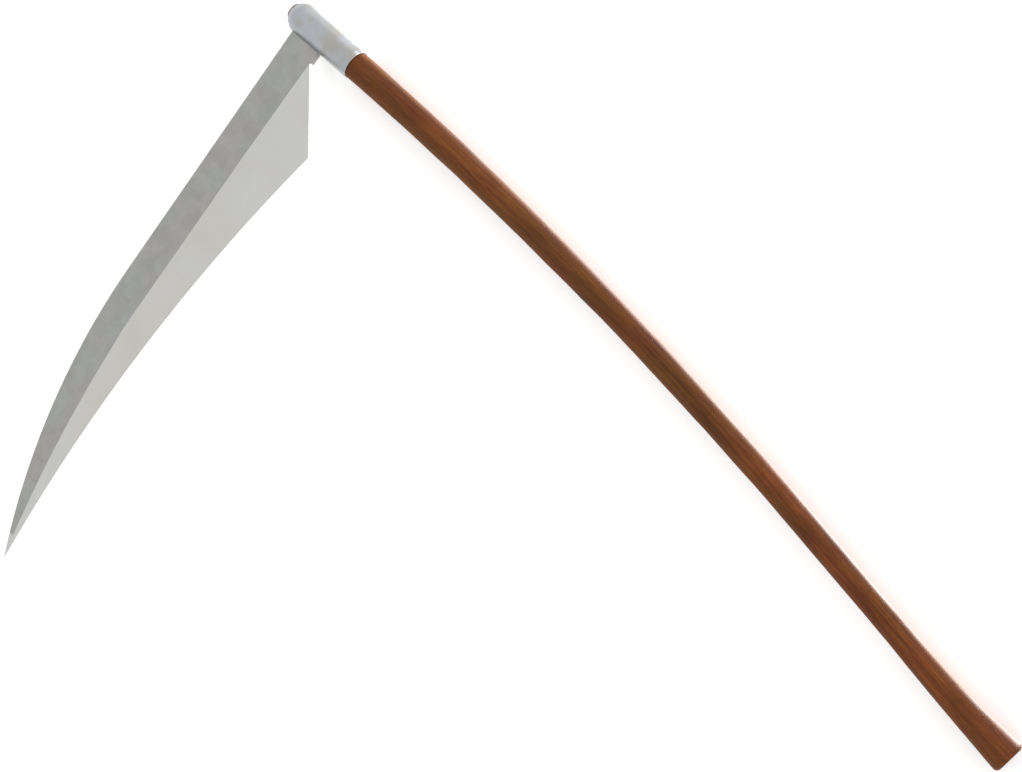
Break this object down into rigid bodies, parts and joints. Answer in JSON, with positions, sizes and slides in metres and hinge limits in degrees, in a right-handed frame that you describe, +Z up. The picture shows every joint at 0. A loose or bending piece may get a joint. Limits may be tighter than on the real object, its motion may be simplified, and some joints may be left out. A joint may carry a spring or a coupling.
{
  "type": "scythe",
  "caption": "Scythe with a bowed wooden haft, a steel sleeve over its top end and a long, curved, wedge-shaped blade held by a tang.",
  "frame": {"origin": "Middle of the part's bounding box, on the surface that it lies on", "axes": "+X along the sleeve's axis from the blade's end towards the butt, +Y away from the blade's point, +Z up from the surface"},
  "size_m": [1.3342, 0.8726, 0.0432],
  "materials": {
    "haft_wood": "oiled, dark with age",
    "wedge_wood": "bare",
    "sleeve_steel": "worn smooth",
    "blade_steel": "forged, clouded, ground along the edge",
    "pin_steel": "dull"
  },
  "bodies": {
    "root": {"haft": "haft_wood", "sleeve": "sleeve_steel", "blade": "blade_steel", "haft_wedge": "wedge_wood", "cross_wedge": "pin_steel", "front_tang_pin": "pin_steel", "rear_tang_pin": "pin_steel", "sleeve_nail": "pin_steel"}
  },
  "joints": []
}
